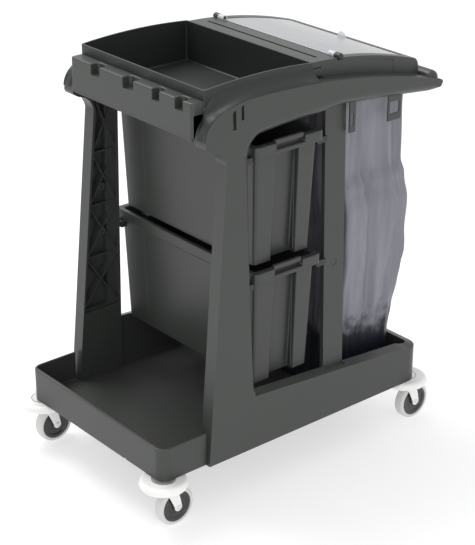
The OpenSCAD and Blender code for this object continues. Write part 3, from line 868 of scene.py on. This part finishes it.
def cove():
    """Hollow sweep from the tray wall out over the rail, down the shoulder to a hooked tip"""
    bm = bmesh.new()
    x0 = 231.5
    # each station: its outer edge on the rail, and where it leaves the tray wall
    stations = [((HX - lean_in(rail_z(y)) - 1.2, y, rail_z(y) + 0.8), (y, 1046.0), 0.0)
                for y in steps(66, -110, 12)]
    for t in steps(4, 88, 30):
        y, z = shoulder(t)
        h = max(0, (t - 34) / 54)
        stations.append(((HX - lean_in(z) - 1.2, y - 3 * h, z + 1.0),
                         (y if y > -225 else max(-256, -225 - 60 * h), 1046 - 78 * h ** 1.15), h))
    n_v = 14
    made = bmesh.ops.create_grid(bm, x_segments=len(stations) - 1, y_segments=n_v, size=1)["verts"]
    made = sorted(made, key=lambda v: (round(v.co.x, 5), round(v.co.y, 5)))
    for i, (outer, (y_in, z_in), h) in enumerate(stations):
        for j in range(n_v + 1):
            a = math.radians(90 * j / n_v)
            along = 1 - math.cos(a)
            made[i * (n_v + 1) + j].co = (
                x0 + (outer[0] - x0) * along,
                y_in + (outer[1] - y_in) * along - 22 * h * h * math.sin(2 * a) ** 1.5,
                z_in - (z_in - outer[2]) * math.sin(a))
    bmesh.ops.recalc_face_normals(bm, faces=bm.faces)
    if sum(f.normal.z for f in bm.faces) < 0:
        bmesh.ops.reverse_faces(bm, faces=bm.faces)
    bmesh.ops.solidify(bm, geom=bm.faces, thickness=2.2)
    return bm


class CART_OT_top_tray(bpy.types.Operator):
    """Deep top tray, and the hollow sweeps that carry it over the side rails"""

    bl_idname = "cart.top_tray"
    bl_label = "Top tray"

    def execute(self, context):
        # tray and sweeps take the darkened grey: painted shade in the tray's hollow and on the concave sweeps
        finish_piece("top_tray_shell", tray_shell(), material("dark"), "cart", ["top_tray"],
                     bevel=0.0009, segments=2, angle=40)
        for name, mirror in (("tray_sweep_right", False), ("tray_sweep_left", True)):
            finish_piece(name, cove(), material("dark"), "cart", (), mirror=mirror,
                         bevel=0.0008, segments=2, angle=50, recalc=False)
        bm = bmesh.new()
        for s in (1, -1):
            block(bm, (min(s * 226, s * 231.8), 60, 1015.3), (max(s * 226, s * 231.8), 94.6, 1033.6), 1)
        finish_piece("tray_tongues", bm, material("grey"), "cart", ())
        return {"FINISHED"}


class CART_OT_apron(bpy.types.Operator):
    """Front apron with four handle notches along its ledge"""

    bl_idname = "cart.apron"
    bl_label = "Front apron"

    def execute(self, context):
        y0, y1 = -289.0, -256.0
        bm = bmesh.new()
        prism(bm, [(y0, 942), (y0 + 5, 942), (y0 + 5, 998), (y1, 998), (y1, 1027), (y0, 1027)], "X", -232,
              232)
        cut = bmesh.new()
        for middle, width in ((-132, 35), (-4, 41), (100, 27), (184, 29)):
            h = width / 2
            prism(cut, [(middle - h, y0 - 6), (middle + h, y0 - 6), (middle + h, y0 + 17),
                        (middle + h - 2, y0 + 21),
                        (middle + h - 6, y0 + 24), (middle - h + 6, y0 + 24), (middle - h + 2, y0 + 21),
                        (middle - h, y0 + 17)], "Z", 1001, 1060)
        bm = carved(bm, cut)
        soften(bm, 9, 5, 40, lambda p, e: abs(p.y - y0) < 0.2 and abs(abs(p.x) - 232) < 0.2 and p.z > 943,
               clamp=False)
        soften(bm, 3.2, 3, 40, lambda p, e: p.z > 1026.5 and p.y < y1 - 1, clamp=False)
        finish_piece("apron_shell", bm, material("grey"), "cart", ["front_apron"],
                     bevel=0.0012,
                     segments=2)
        lip = bmesh.new()
        block(lip, (-231, y0 - 0.6, 940.6), (231, y0 + 5.5, 945), 1.2)
        finish_piece("apron_lip", lip, material("grey"), "cart", ())
        return {"FINISHED"}


class CART_OT_housing(bpy.types.Operator):
    """Bag housing behind the tray, with its slot, lid recess, side catches and hinge knobs"""

    bl_idname = "cart.housing"
    bl_label = "Bag housing"

    def execute(self, context):
        bm = bmesh.new()
        top = [(y, house_z(y)) for y in reversed(steps(66.5, 416, 24))]
        rear = [(427, 952.5), (427, 972), (425, 980), (421, house_z(421) - 2)]
        prism(bm, [(66.5, 980)] + rear + top, "X", -228, 228)
        soften(bm, 9, 4, 50, lambda p, e: p.y > 415 and abs(abs(p.x) - 228) < 0.2 and
               abs(e.verts[0].co.z - e.verts[1].co.z) > 3, clamp=False)
        clean(bm)
        cut = bmesh.new()
        prism(cut, [(420, 940), (72, 960)] + [(y, house_z(y) - 8) for y in steps(72, 420, 18)], "X", -224,
              224)
        bm = carved(bm, cut)
        # plan of the recess: it steps round the raised side walls
        cut = bmesh.new()
        recess = [(390, 1100), (147, 1100)] + [(y, house_z(y) - 4.3) for y in steps(147, 390, 18)]
        prism(cut, recess, "X", -205, 205)
        bm = carved(bm, cut)
        cut = bmesh.new()
        block(cut, (-195, 150, 900), (195, 380, 1100))
        block(cut, (-200, 103, 1000), (200, 110.5, 1100))
        for s in (1, -1):
            block(cut, (min(s * 213.3, s * 240), 146.5, 1039.5), (max(s * 213.3, s * 240), 165.5, 1100))
            block(cut, (min(s * 189, s * 214), 146.8, 1039), (max(s * 189, s * 214), 165.2, 1100))
            # seams of the side catch
            a, b = sorted((s * 226.4, s * 240))
            line = [(y, house_z(y) - 8) for y in steps(249, 334, 6)]
            prism(cut, line + [(y, z - 2) for y, z in reversed(line)], "X", a, b)
            block(cut, (a, 333.2, 940), (b, 334.6, house_z(334) - 9))
            block(cut, (min(s * 224.6, s * 240), 60, 980), (max(s * 224.6, s * 240), 96, 1035))
        bm = carved(bm, cut, self_cut=True)
        finish_piece("housing_shell", bm, material("grey"), "cart", ["bag_housing"],
                     bevel=0.0016,
                     segments=3, angle=35)
        flanges = bmesh.new()
        line = [(y, rail_z(y) + 0.3) for y in steps(97, 408, 16)]
        for s in (1, -1):
            prism(flanges, line + [(y, z + 1.4) for y, z in reversed(line)], "X", min(s * 226, s * 242),
                  max(s * 226, s * 242))
        finish_piece("housing_flanges", flanges, material("grey"), "cart", (), bevel=0.0004)
        knobs = bmesh.new()
        for s in (1, -1):
            turned(knobs, [(0.01, s * 194), (5, s * 194), (5, s * 213.6), (8, s * 213.6), (8, s * 229),
                           (7.4, s * 231),
                           (6, s * 232), (0.01, s * 232)], (0, 156, 1048), "X", 36)
            block(knobs, (min(s * 214, s * 228), 148, 1039.9), (max(s * 214, s * 228), 164, 1047), 1)
        # hinge knobs take the same darkened grey that paints shade on the tray
        finish_piece("hinge_knobs", knobs, material("dark"), "cart", ["hinge_pins"])
        return {"FINISHED"}


class CART_OT_lid(bpy.types.Operator):
    """Clear lid sheet with its hinge knuckles and finger grip"""

    bl_idname = "cart.lid"
    bl_label = "Clear lid"

    def execute(self, context):
        bm = bmesh.new()
        line = [(y, house_z(y) - 4) for y in steps(158, 386, 18)]
        prism(bm, line + [(y, z + 3) for y, z in reversed(line)], "X", -203, 203)
        soften(bm, 7, 4, 60, lambda p, e: p.y > 385 and abs(abs(p.x) - 203) < 0.2, clamp=False)
        finish_piece("lid_sheet", bm, material("sheet"), "lid", ["clear_lid"],
                     bevel=0.0008, segments=2)
        bm = bmesh.new()
        for s in (1, -1):
            turned(bm, [(5.1, s * 193), (7.6, s * 193), (8, s * 194), (8, s * 212), (7.6, s * 213),
                        (5.1, s * 213)],
                   (0, 156, 1048), "X", 40)
            block(bm, (min(s * 193.5, s * 212.5), 155, 1041.3), (max(s * 193.5, s * 212.5), 163, 1044.4), 0.6)
        finish_piece("lid_knuckles", bm, material("knuckle"), "lid", ())
        bm = bmesh.new()
        z = house_z(378) - 1
        prism(bm, [(p[0], p[1]) for p in arc(0, z, 15, 0, 180, 24)], "Y", 377, 380)
        soften(bm, 1, 3, 50)
        finish_piece("lid_grip_tab", bm, material("knuckle"), "lid", ["lid_grip"])
        return {"FINISHED"}


class CART_OT_handle(bpy.types.Operator):
    """Push handle bar and the tabs under the rails that the bag hangs from"""

    bl_idname = "cart.handle"
    bl_label = "Handle and bag tabs"

    def execute(self, context):
        bm = bmesh.new()
        prism(bm, arc(446, 943, 19, 0, 360, 40)[:-1], "X", -264, 264)
        soften(bm, 17, 8, 60, clamp=False)
        finish_piece("handle_bar", bm, material("grey"), "cart", ["push_handle"], angle=30)
        bm = bmesh.new()
        cut = bmesh.new()
        for s in (1, -1):
            a, b = sorted((s * 258, s * 262))
            for y0, y1 in ((161, 181), (289, 333)):
                prism(bm, [(y0, 866), (y1, 866), (y1, under_z(y1) + 4), (y0, under_z(y0) + 4)], "X", a, b)
                block(cut, (a - 5, y0 + 6, 884), (b + 5, y1 - 7, 914))
        bm = carved(bm, cut)
        finish_piece("bag_tabs", bm, material("grey"), "cart", ["bag_hooks"], bevel=0.0009)
        return {"FINISHED"}


def bag_outline(z):
    """Half sizes, middle, corner radius and fold strength of the bag at a height"""
    table = [
        (142, 207, 110, 269, 46, 0.2), (152, 217, 116, 271, 44, 0.3), (200, 221, 118, 272, 44, 0.5),
        (267, 223, 120, 273, 46, 0.7), (340, 230, 123, 275, 50, 0.9), (404, 238, 126, 277, 52, 1.0),
        (536, 250, 132, 282, 54, 1.1), (644, 255, 136, 285, 56, 1.2), (700, 244, 134, 283, 50, 1.3),
        (742, 230, 130, 281, 44, 1.3), (893, 229, 128, 279, 36, 1.0), (925, 230, 127, 278, 34, 0.6),
        (949, 230, 127, 278, 32, 0.3)]
    for low, high in zip(table, table[1:]):
        if z <= high[0]:
            f = (z - low[0]) / (high[0] - low[0])
            f = f * f * (3 - 2 * f)
            return [a + (b - a) * f for a, b in zip(low[1:], high[1:])]
    return list(table[-1][1:])


def along_outline(f, hw, hl, r):
    """Point and outward direction at a fraction of the way round a corner-rounded rectangle"""
    bend = math.pi * r / 2
    runs = [("s", (1, 0), hl - r), ("c", 0, bend), ("s", (0, 1), 2 * (hw - r)), ("c", 90, bend),
            ("s", (-1, 0), 2 * (hl - r)), ("c", 180, bend), ("s", (0, -1), 2 * (hw - r)), ("c", 270, bend),
            ("s", (1, 0), hl - r)]
    left = f * sum(q[2] for q in runs)
    starts = [(hw, 0), (hw - r, hl - r), (hw - r, hl), (r - hw, hl - r), (-hw, hl - r), (r - hw, r - hl),
              (r - hw, -hl), (hw - r, r - hl), (hw, r - hl)]
    for (kind, what, length), start in zip(runs, starts):
        if left <= length or (kind, start) == ("s", starts[-1]):
            break
        left -= length
    if kind == "c":
        a = math.radians(what) + left / r
        return (start[0] + r * math.cos(a), start[1] + r * math.sin(a)), (math.cos(a), math.sin(a))
    return (start[0] - what[1] * left, start[1] + what[0] * left), what


def bag_shape(pleat):
    """Loft of ruffled rings, closed at the foot and open at the mouth"""
    bm = bmesh.new()
    count = 288
    bmesh.ops.create_circle(bm, cap_ends=False, segments=count, radius=1)
    ring = sorted(bm.verts, key=lambda v: math.atan2(v.co.y, v.co.x))
    heights = [142, 143.5, 147, 153, 162, 174] + [174 + i * 774 / 96 for i in range(1, 97)]
    angles = [2 * math.pi * i / count for i in range(count)]

    def put(verts, z):
        hw, hl, mid, round_, fold = bag_outline(z)
        for v, a in zip(verts, angles):
            c, s = math.cos(a), math.sin(a)
            (x, y), normal = along_outline(a / (2 * math.pi), hw, hl, round_)
            out = Vector((*normal, 0))
            lift = z / 950
            w1 = noise.noise(Vector((c * 2.6, s * 2.6, z * 0.0016 + 3)))
            w2 = noise.noise(Vector((c * 8 + z * 0.0011, s * 8, z * 0.0018 + 9)))
            w3 = noise.noise(Vector((c * 19 - z * 0.003, s * 19 + z * 0.002, z * 0.003)))
            ridge = 1 - abs(noise.noise(Vector((c * 6.5 + 5, s * 6.5 + z * 0.0022, z * 0.0022)))) * 3.4
            amount = pleat * fold
            push = amount * (0.9 * w1 + 1.25 * w2 + 0.55 * w3
                             + 0.65 * max(0, ridge) * (1 - lift * 0.3)) - amount * 0.7
            v.co = Vector((x, mid + y, z)) + out * push

    put(ring, heights[0])
    current = ring
    base = list(ring)
    for z in heights[1:]:
        edges = [bm.edges.get((current[i - 1], current[i])) for i in range(count)]
        made = bmesh.ops.extrude_edge_only(bm, edges=edges)["geom"]
        fresh = {v for v in made if isinstance(v, bmesh.types.BMVert)}
        above = []
        for v in current:
            above.append(next(e.other_vert(v) for e in v.link_edges if e.other_vert(v) in fresh))
        put(above, z)
        current = above
    bottom = bm.faces.new(list(reversed(base)))
    bmesh.ops.recalc_face_normals(bm, faces=bm.faces)
    bmesh.ops.inset_region(bm, faces=[bottom], thickness=18, depth=0)
    bmesh.ops.smooth_vert(bm, verts=bm.verts, factor=0.4, use_axis_x=True, use_axis_y=True, use_axis_z=False)
    return bm


class CART_OT_bag(bpy.types.Operator):
    """Waste bag of thin film, gathered under the rails and standing on the deck"""

    bl_idname = "cart.bag"
    bl_label = "Waste bag"

    def execute(self, context):
        sizes = context.scene.cart_sizes
        piece = finish_piece("waste_bag_film", bag_shape(sizes.pleat / MM), material("film"), "cart",
                             ["waste_bag"],
                             angle=80, recalc=False, weighted=False)
        wall = piece.modifiers.new("Film", "SOLIDIFY")
        wall.thickness = sizes.film
        wall.offset = -1
        return {"FINISHED"}


def bin_shape(top):
    """Tapered bin with a folded rim, end channels, side panels and finger grips"""
    base = top - 302
    bm = bmesh.new()

    def loft(target, levels, r):
        """Stack of rounded rectangles: (half x, half y, z)"""
        rings = []
        for hx, hy, z in levels:
            rings.append([target.verts.new((x, y - 36, z)) for x, y in rounded_rect(hx, hy, r, 5)])
        target.faces.new(list(reversed(rings[0])))
        target.faces.new(rings[-1])
        for a, b in zip(rings, rings[1:]):
            edges = [target.edges.get((q[i - 1], q[i])) or target.edges.new((q[i - 1], q[i]))
                     for q in (a, b) for i in range(len(q))]
            bmesh.ops.bridge_loops(target, edges=edges)

    loft(bm, [(249, 87, base), (262, 95, top - 2)], 10)
    # channel between the two ribs of each end
    cut = bmesh.new()
    for s in (1, -1):
        z0, z1 = base - 5, top - 31
        x_in0, x_in1 = 230.0, 243.0
        pts = [(s * 290, z0), (s * x_in0, z0), (s * x_in1, z1), (s * 290, z1)]
        prism(cut, pts, "Y", -36 - 33, -36 + 39)
    bm = carved(bm, cut)
    soften(bm, 4, 3, 40, lambda p, e: abs(p.x) > 225 and -80 < p.y < 12 and
           abs(e.verts[0].co.z - e.verts[1].co.z) > 60, clamp=False)
    clean(bm)
    # centre panel standing out of each long side
    for s in (1, -1):
        lower = 87.0
        upper = 95.0
        pts0 = [(-162, base + 6), (162, base + 6), (168, top - 30), (-168, top - 30)]
        panel = bmesh.new()
        verts = []
        for x, z in pts0:
            f = (z - base) / 300
            verts.append(panel.verts.new((x, -36 + s * (lower + (upper - lower) * f - 3), z)))
        face = panel.faces.new(verts)
        made = bmesh.ops.extrude_face_region(panel, geom=[face])["geom"]
        bmesh.ops.translate(panel, vec=(0, s * 6.2, 0),
                            verts=[g for g in made if isinstance(g, bmesh.types.BMVert)])
        clean(panel)
        soften(panel, 2.6, 3, 40, clamp=False)
        bm = carved(bm, panel, "UNION")
    hollow = bmesh.new()
    loft(hollow, [(246, 84, base + 4), (259.2, 92.2, top + 30)], 8)
    keep = bmesh.new()
    for s in (1, -1):
        block(keep, (s * 262 - 34.5, -36 - 36, base - 5), (s * 262 + 34.5, -36 + 42, top - 28))
    hollow = carved(hollow, keep)
    bm = carved(bm, hollow)
    # folded rim
    rim = bmesh.new()
    prism(rim, rounded_rect(276, 104, 13, 6), "Z", top - 26, top)
    bmesh.ops.translate(rim, vec=(0, -36, 0), verts=rim.verts)
    inside = bmesh.new()
    prism(inside, rounded_rect(273.4, 101.4, 11, 6), "Z", top - 40, top - 3)
    prism(inside, rounded_rect(259.5, 92.5, 9, 6), "Z", top - 10, top + 20)
    bmesh.ops.translate(inside, vec=(0, -36, 0), verts=inside.verts)
    rim = carved(rim, inside, self_cut=True)
    soften(rim, 3, 3, 50, lambda p, e: p.z > top - 0.5 and (abs(p.x) > 272 or abs(p.y + 36) > 100),
           clamp=False)
    # mouth of the grip cut down into the rim ends
    bite = bmesh.new()
    for s in (1, -1):
        block(bite, (min(s * 269, s * 290), -80, top - 16), (max(s * 269, s * 290), 8, top + 9))
    rim = carved(rim, bite)
    bm = joined(bm, rim)
    for s in (1, -1):
        a, b = sorted((s * 262, s * 277.5))
        c, d = sorted((s * 262, s * 272))
        block(bm, (a, -83, top - 25), (b, 11, top - 16.5), 2)
        block(bm, (c, -79, top - 5), (d, 7, top + 6.5), 2)
        e, f = sorted((s * 259.5, s * 264))
        block(bm, (e, -81, top - 20), (f, 9, top - 2), 1)
        rod(bm, "Z", base + 10, top - 34, (s * 246.4, 0.5), 1.4, 12)
    return bm


def joined(a, b):
    """Adds the faces of b to a"""
    mesh = bpy.data.meshes.new("joined")
    b.to_mesh(mesh)
    b.free()
    a.from_mesh(mesh)
    bpy.data.meshes.remove(mesh)
    return a


class CART_OT_bins(bpy.types.Operator):
    """Two pull-out bins and the lugs they run on"""

    bl_idname = "cart.bins"
    bl_label = "Bins"

    def execute(self, context):
        for node, top in (("bin_upper", 901), ("bin_lower", 588)):
            finish_piece(node + "_shell", bin_shape(top), material("bin"), node.replace("bin_", "") + "_bin",
                         [node], bevel=0.0008, segments=2, angle=35)
        bm = bmesh.new()
        for s in (1, -1):
            for z in (874.7, 561.7):
                a, b = sorted((s * (240 - lean_in(z)), s * (270 - lean_in(z))))
                block(bm, (a, LEG_REAR, z - 16), (b, -134, z), 1.5)
                block(bm, (a, 63, z - 16), (b, POST_FRONT, z), 1.5)
        # the lugs take the darkened grey: painted shade, so they sink into the shadow by the frame
        finish_piece("runner_lug_blocks", bm, material("dark"), "cart", ["runner_lugs"])
        return {"FINISHED"}


class CART_OT_castors(bpy.types.Operator):
    """Four swivel castors with bumper rings, forks, axles, tyres and wheel centres"""

    bl_idname = "cart.castors"
    bl_label = "Castors"

    def execute(self, context):
        swivels = [(-254.5, -402.5), (254.5, -402.5), (-254.5, 402.5), (254.5, 402.5)]
        plates, rings = bmesh.new(), bmesh.new()
        for x, y in swivels:
            turned(plates, [(0.01, 128), (27, 128), (28, 129), (28, 133), (0.01, 133)], (x, y, 0), "Z", 40)
            turned(plates, [(8.1, 110), (15, 110), (16, 111.5), (16, 129), (8.1, 129)], (x, y, 0), "Z", 40)
            profile = [(30, 133), (30, 116)] + arc(36, 117, 6, 180, 270, 4) + [(44, 111)] + \
                arc(48, 122, 11, 270, 450, 14) + [(44, 133)]
            turned(rings, profile, (x, y, 0), "Z", 96)
        finish_piece("castor_plate_discs", plates, material("zinc"), "cart", ["castor_plates"])
        finish_piece("bumper_ring_set", rings, material("bumper"), "cart", ["bumper_rings"],
                     angle=50)
        for i, (x, y) in enumerate(swivels, 1):
            self.castor(i, x, y)
        return {"FINISHED"}

    def castor(self, i, x, y):
        yw, zw = y + 29, 50.0
        fork = bmesh.new()
        turned(fork, [(0.01, 104), (23, 104), (24.4, 105), (24.4, 107.6), (22, 109), (8, 109.2), (8, 128.8),
                      (0.01, 128.8)], (x, y, 0), "Z", 48)
        for s in (1, -1):
            a, b = sorted((s * 16, s * 19))
            outline = ([(y - 15, 105), (y + 4, 84), (yw - 10.5, zw + 2)] + arc(yw, zw, 10.5, 180, 360, 14) +
                       [(yw + 10.5, zw + 2), (yw + 6, 74), (yw + 1, 90), (y + 24, 105)])
            arm = bmesh.new()
            prism(arm, outline, "X", x + a, x + b)
            hole = bmesh.new()
            rod(hole, "X", x + a - 3, x + b + 3, (yw, zw), 4.1, 24)
            arm = carved(arm, hole)
            soften(arm, 0.9, 2, 40, clamp=False)
            fork = joined(fork, arm)
            # pressed rib down the arm
            rod(fork, "X", x + s * 18.5 - 0.8, x + s * 18.5 + 0.8, (yw - 2, 80), 3.2, 20)
        block(fork, (x - 19, y - 14, 103.6), (x + 19, y + 23, 107), 1.4)
        finish_piece(f"fork_{i}_pressing", fork, material("bumper"), f"castor_{i}", [f"fork_{i}"])
        axle = bmesh.new()
        turned(axle, [(0.01, -22), (4.6, -22), (6.4, -21), (6.5, -19.1), (4, -19.1), (4, 19.1), (6.5, 19.1),
                      (6.5, 21), (4.6, 22), (0.01, 22)], (x, yw, zw), "X", 28)
        finish_piece(f"axle_{i}_bolt", axle, material("zinc"), f"castor_{i}", [f"axle_{i}"])
        tyre = bmesh.new()
        outer = arc(43, -7, 7, 270, 360, 6) + arc(43, 7, 7, 0, 90, 6)
        turned(tyre, [(40, 13.2), (40, -13.2), (41, -14)] + outer + [(41, 14)], (x, yw, zw), "X", 96)
        finish_piece(f"tyre_{i}_ring", tyre, material("tyre"), f"wheel_{i}", [f"tyre_{i}"],
                     angle=45)
        hub = bmesh.new()
        face = [(4.1, 15.2), (9, 15.2), (11, 14.4), (12, 12.8), (13, 10), (17, 9.6), (18, 10.8),
                (21, 10.8), (22, 9.6),
                (30, 9.8), (31.5, 12), (33, 12.8), (38, 12.8), (39.2, 12.2)]
        turned(hub, face + [(r, -h) for r, h in reversed(face)], (x, yw, zw), "X", 72)
        finish_piece(f"hub_{i}_centre", hub, material("hub"), f"wheel_{i}", [f"hub_{i}"],
                     angle=30)


class CART_OT_stage(bpy.types.Operator):
    """Pale floor, soft studio light and the camera"""

    bl_idname = "cart.stage"
    bl_label = "Stage"

    def execute(self, context):
        scene = context.scene
        bm = bmesh.new()
        bmesh.ops.create_grid(bm, x_segments=1, y_segments=1, size=30)
        mesh = bpy.data.meshes.new("floor")
        bm.to_mesh(mesh)
        bm.free()
        floor = bpy.data.objects.new("floor", mesh)
        scene.collection.objects.link(floor)
        m = bpy.data.materials.new("Pale floor")
        m.use_nodes = True
        surface = next(x for x in m.node_tree.nodes if x.type == "BSDF_PRINCIPLED")
        surface.inputs["Base Color"].default_value = (0.5, 0.5, 0.5, 1)
        surface.inputs["Emission Color"].default_value = (1, 1, 1, 1)
        surface.inputs["Emission Strength"].default_value = 0.55
        surface.inputs["Roughness"].default_value = 0.7
        surface.inputs["Specular IOR Level"].default_value = 0.2
        mesh.materials.append(m)

        world = bpy.data.worlds.new("Studio")
        world.use_nodes = True
        world.node_tree.nodes["Background"].inputs["Color"].default_value = (1, 1, 1, 1)
        world.node_tree.nodes["Background"].inputs["Strength"].default_value = 0.85
        scene.world = world
        scene.view_settings.view_transform = "Standard"

        def softbox(name, place, size, power):
            lamp = bpy.data.lights.new(name, "AREA")
            lamp.shape = "SQUARE"
            lamp.size = size
            lamp.energy = power
            o = bpy.data.objects.new(name, lamp)
            o.location = place
            o.rotation_mode = "QUATERNION"
            o.rotation_quaternion = (Vector((0, 0, 0.5)) - Vector(place)).to_track_quat("-Z", "Y")
            scene.collection.objects.link(o)

        softbox("key_softbox", (-1.6, -0.4, 3.6), 2.2, 90)
        softbox("fill_softbox", (3.4, -2.2, 1.8), 2.4, 30)

        camera = bpy.data.cameras.new("Camera")
        camera.lens = 105.8
        camera.sensor_width = 36
        camera.shift_x = 0.0224
        camera.clip_start, camera.clip_end = 0.05, 100
        view = bpy.data.objects.new("Camera", camera)
        a, e = math.radians(50.33), math.radians(24.7)
        back = Vector((math.sin(a) * math.cos(e), -math.cos(a) * math.cos(e), math.sin(e)))
        view.location = (2.8295, -2.3494 + CENTRE_Y, 2.15)
        view.rotation_mode = "QUATERNION"
        view.rotation_quaternion = (-back).to_track_quat("-Z", "Y")
        scene.collection.objects.link(view)
        scene.camera = view
        return {"FINISHED"}


class CART_PT_panel(bpy.types.Panel):
    """Settings and pieces of the cart"""

    bl_idname = "CART_PT_panel"
    bl_label = "Housekeeping Cart"
    bl_space_type = "VIEW_3D"
    bl_region_type = "UI"
    bl_category = "Cart"

    def draw(self, context):
        layout = self.layout
        for group in (context.scene.cart_finish, context.scene.cart_sizes):
            for name in group.__annotations__:
                layout.prop(group, name)
        for cls in OPERATORS:
            layout.operator(cls.bl_idname)


OPERATORS = (CART_OT_stage, CART_OT_deck, CART_OT_side_frames, CART_OT_top_tray, CART_OT_apron,
             CART_OT_housing,
             CART_OT_lid, CART_OT_handle, CART_OT_bag, CART_OT_bins, CART_OT_castors)
CLASSES = (CartFinish, CartSizes, *OPERATORS, CART_PT_panel)


def register():
    for cls in CLASSES:
        bpy.utils.register_class(cls)
    bpy.types.Scene.cart_finish = PointerProperty(type=CartFinish)
    bpy.types.Scene.cart_sizes = PointerProperty(type=CartSizes)


def unregister():
    del bpy.types.Scene.cart_sizes
    del bpy.types.Scene.cart_finish
    for cls in reversed(CLASSES):
        bpy.utils.unregister_class(cls)


def main():
    register()
    for cls in OPERATORS:
        group, name = cls.bl_idname.split(".")
        getattr(getattr(bpy.ops, group), name)()


if __name__ == "__main__":
    main()
